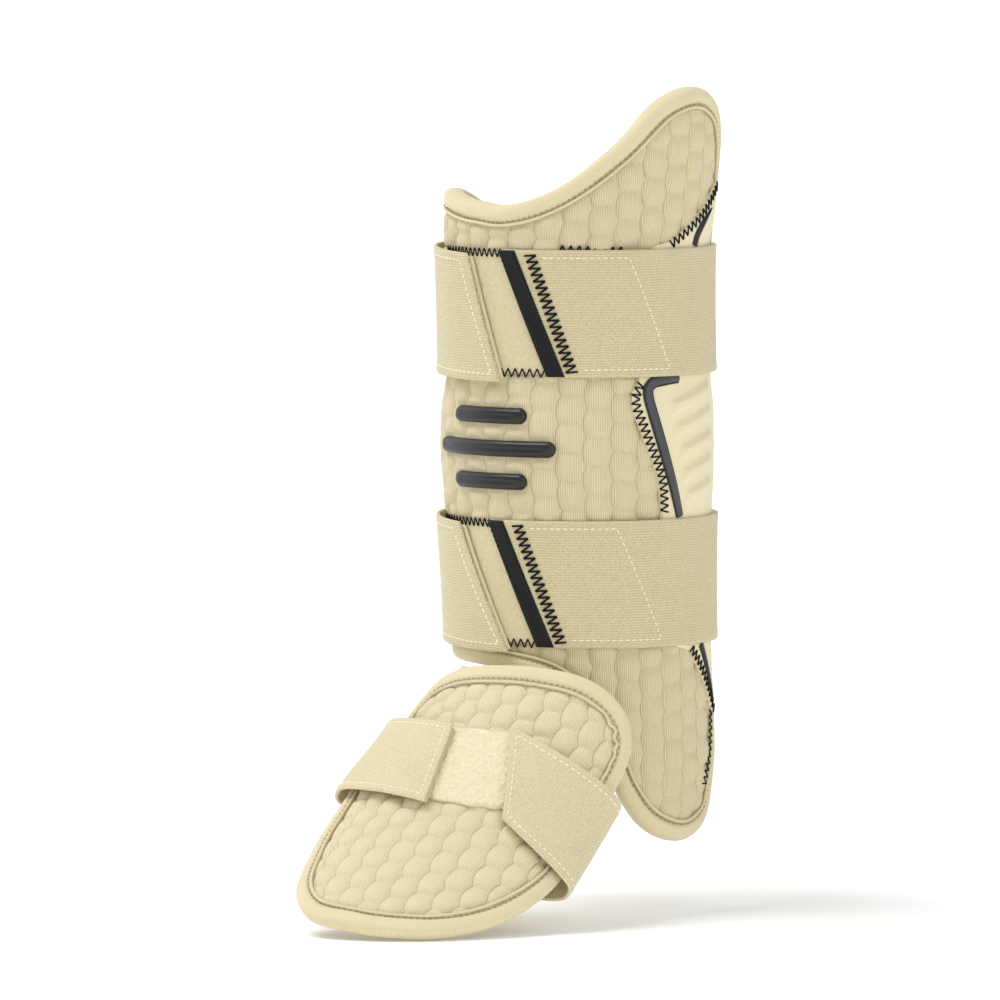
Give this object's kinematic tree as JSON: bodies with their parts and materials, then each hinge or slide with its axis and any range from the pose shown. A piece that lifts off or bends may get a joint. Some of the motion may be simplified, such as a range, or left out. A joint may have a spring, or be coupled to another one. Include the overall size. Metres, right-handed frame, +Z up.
{
  "type": "batters leg guard",
  "caption": "Padded shin guard for a batter's left leg, with elastic straps round the leg and a padded instep flap strapped under the foot.",
  "frame": {"origin": "on the axis of the wearer's leg, halfway between the two shin straps", "axes": "+Z up the leg, -Y out of the front of the shin, +X towards the outer side of a left leg"},
  "size_m": [0.1516, 0.2646, 0.4026],
  "materials": {
    "quilted_cloth": "quilted knit",
    "edge_knit": "fine ribbed knit",
    "panel_cloth": "smooth moulded cloth",
    "elastic": "ribbed elastic webbing",
    "loop_tape": "brushed loop",
    "dark_tape": "satin woven tape",
    "dark_rubber": "satin"
  },
  "bodies": {
    "root": {"shin_shell": "quilted_cloth", "shin_binding": "edge_knit", "side_panel": "panel_cloth", "upper_piping": "dark_rubber", "side_piping": "dark_rubber", "lower_piping": "dark_rubber", "upper_patch": "loop_tape", "upper_tab": "loop_tape", "upper_strap": "elastic", "upper_label": "dark_tape", "lower_patch": "loop_tape", "lower_tab": "loop_tape", "lower_strap": "elastic", "lower_label": "dark_tape", "front_bar_1": "dark_rubber", "front_bar_2": "dark_rubber", "front_bar_3": "dark_rubber", "instep_guard": "quilted_cloth", "instep_binding": "edge_knit", "instep_patch": "loop_tape", "foot_strap": "elastic", "outer_foot_tab": "loop_tape", "inner_foot_tab": "loop_tape", "ankle_web": "quilted_cloth"}
  },
  "joints": []
}
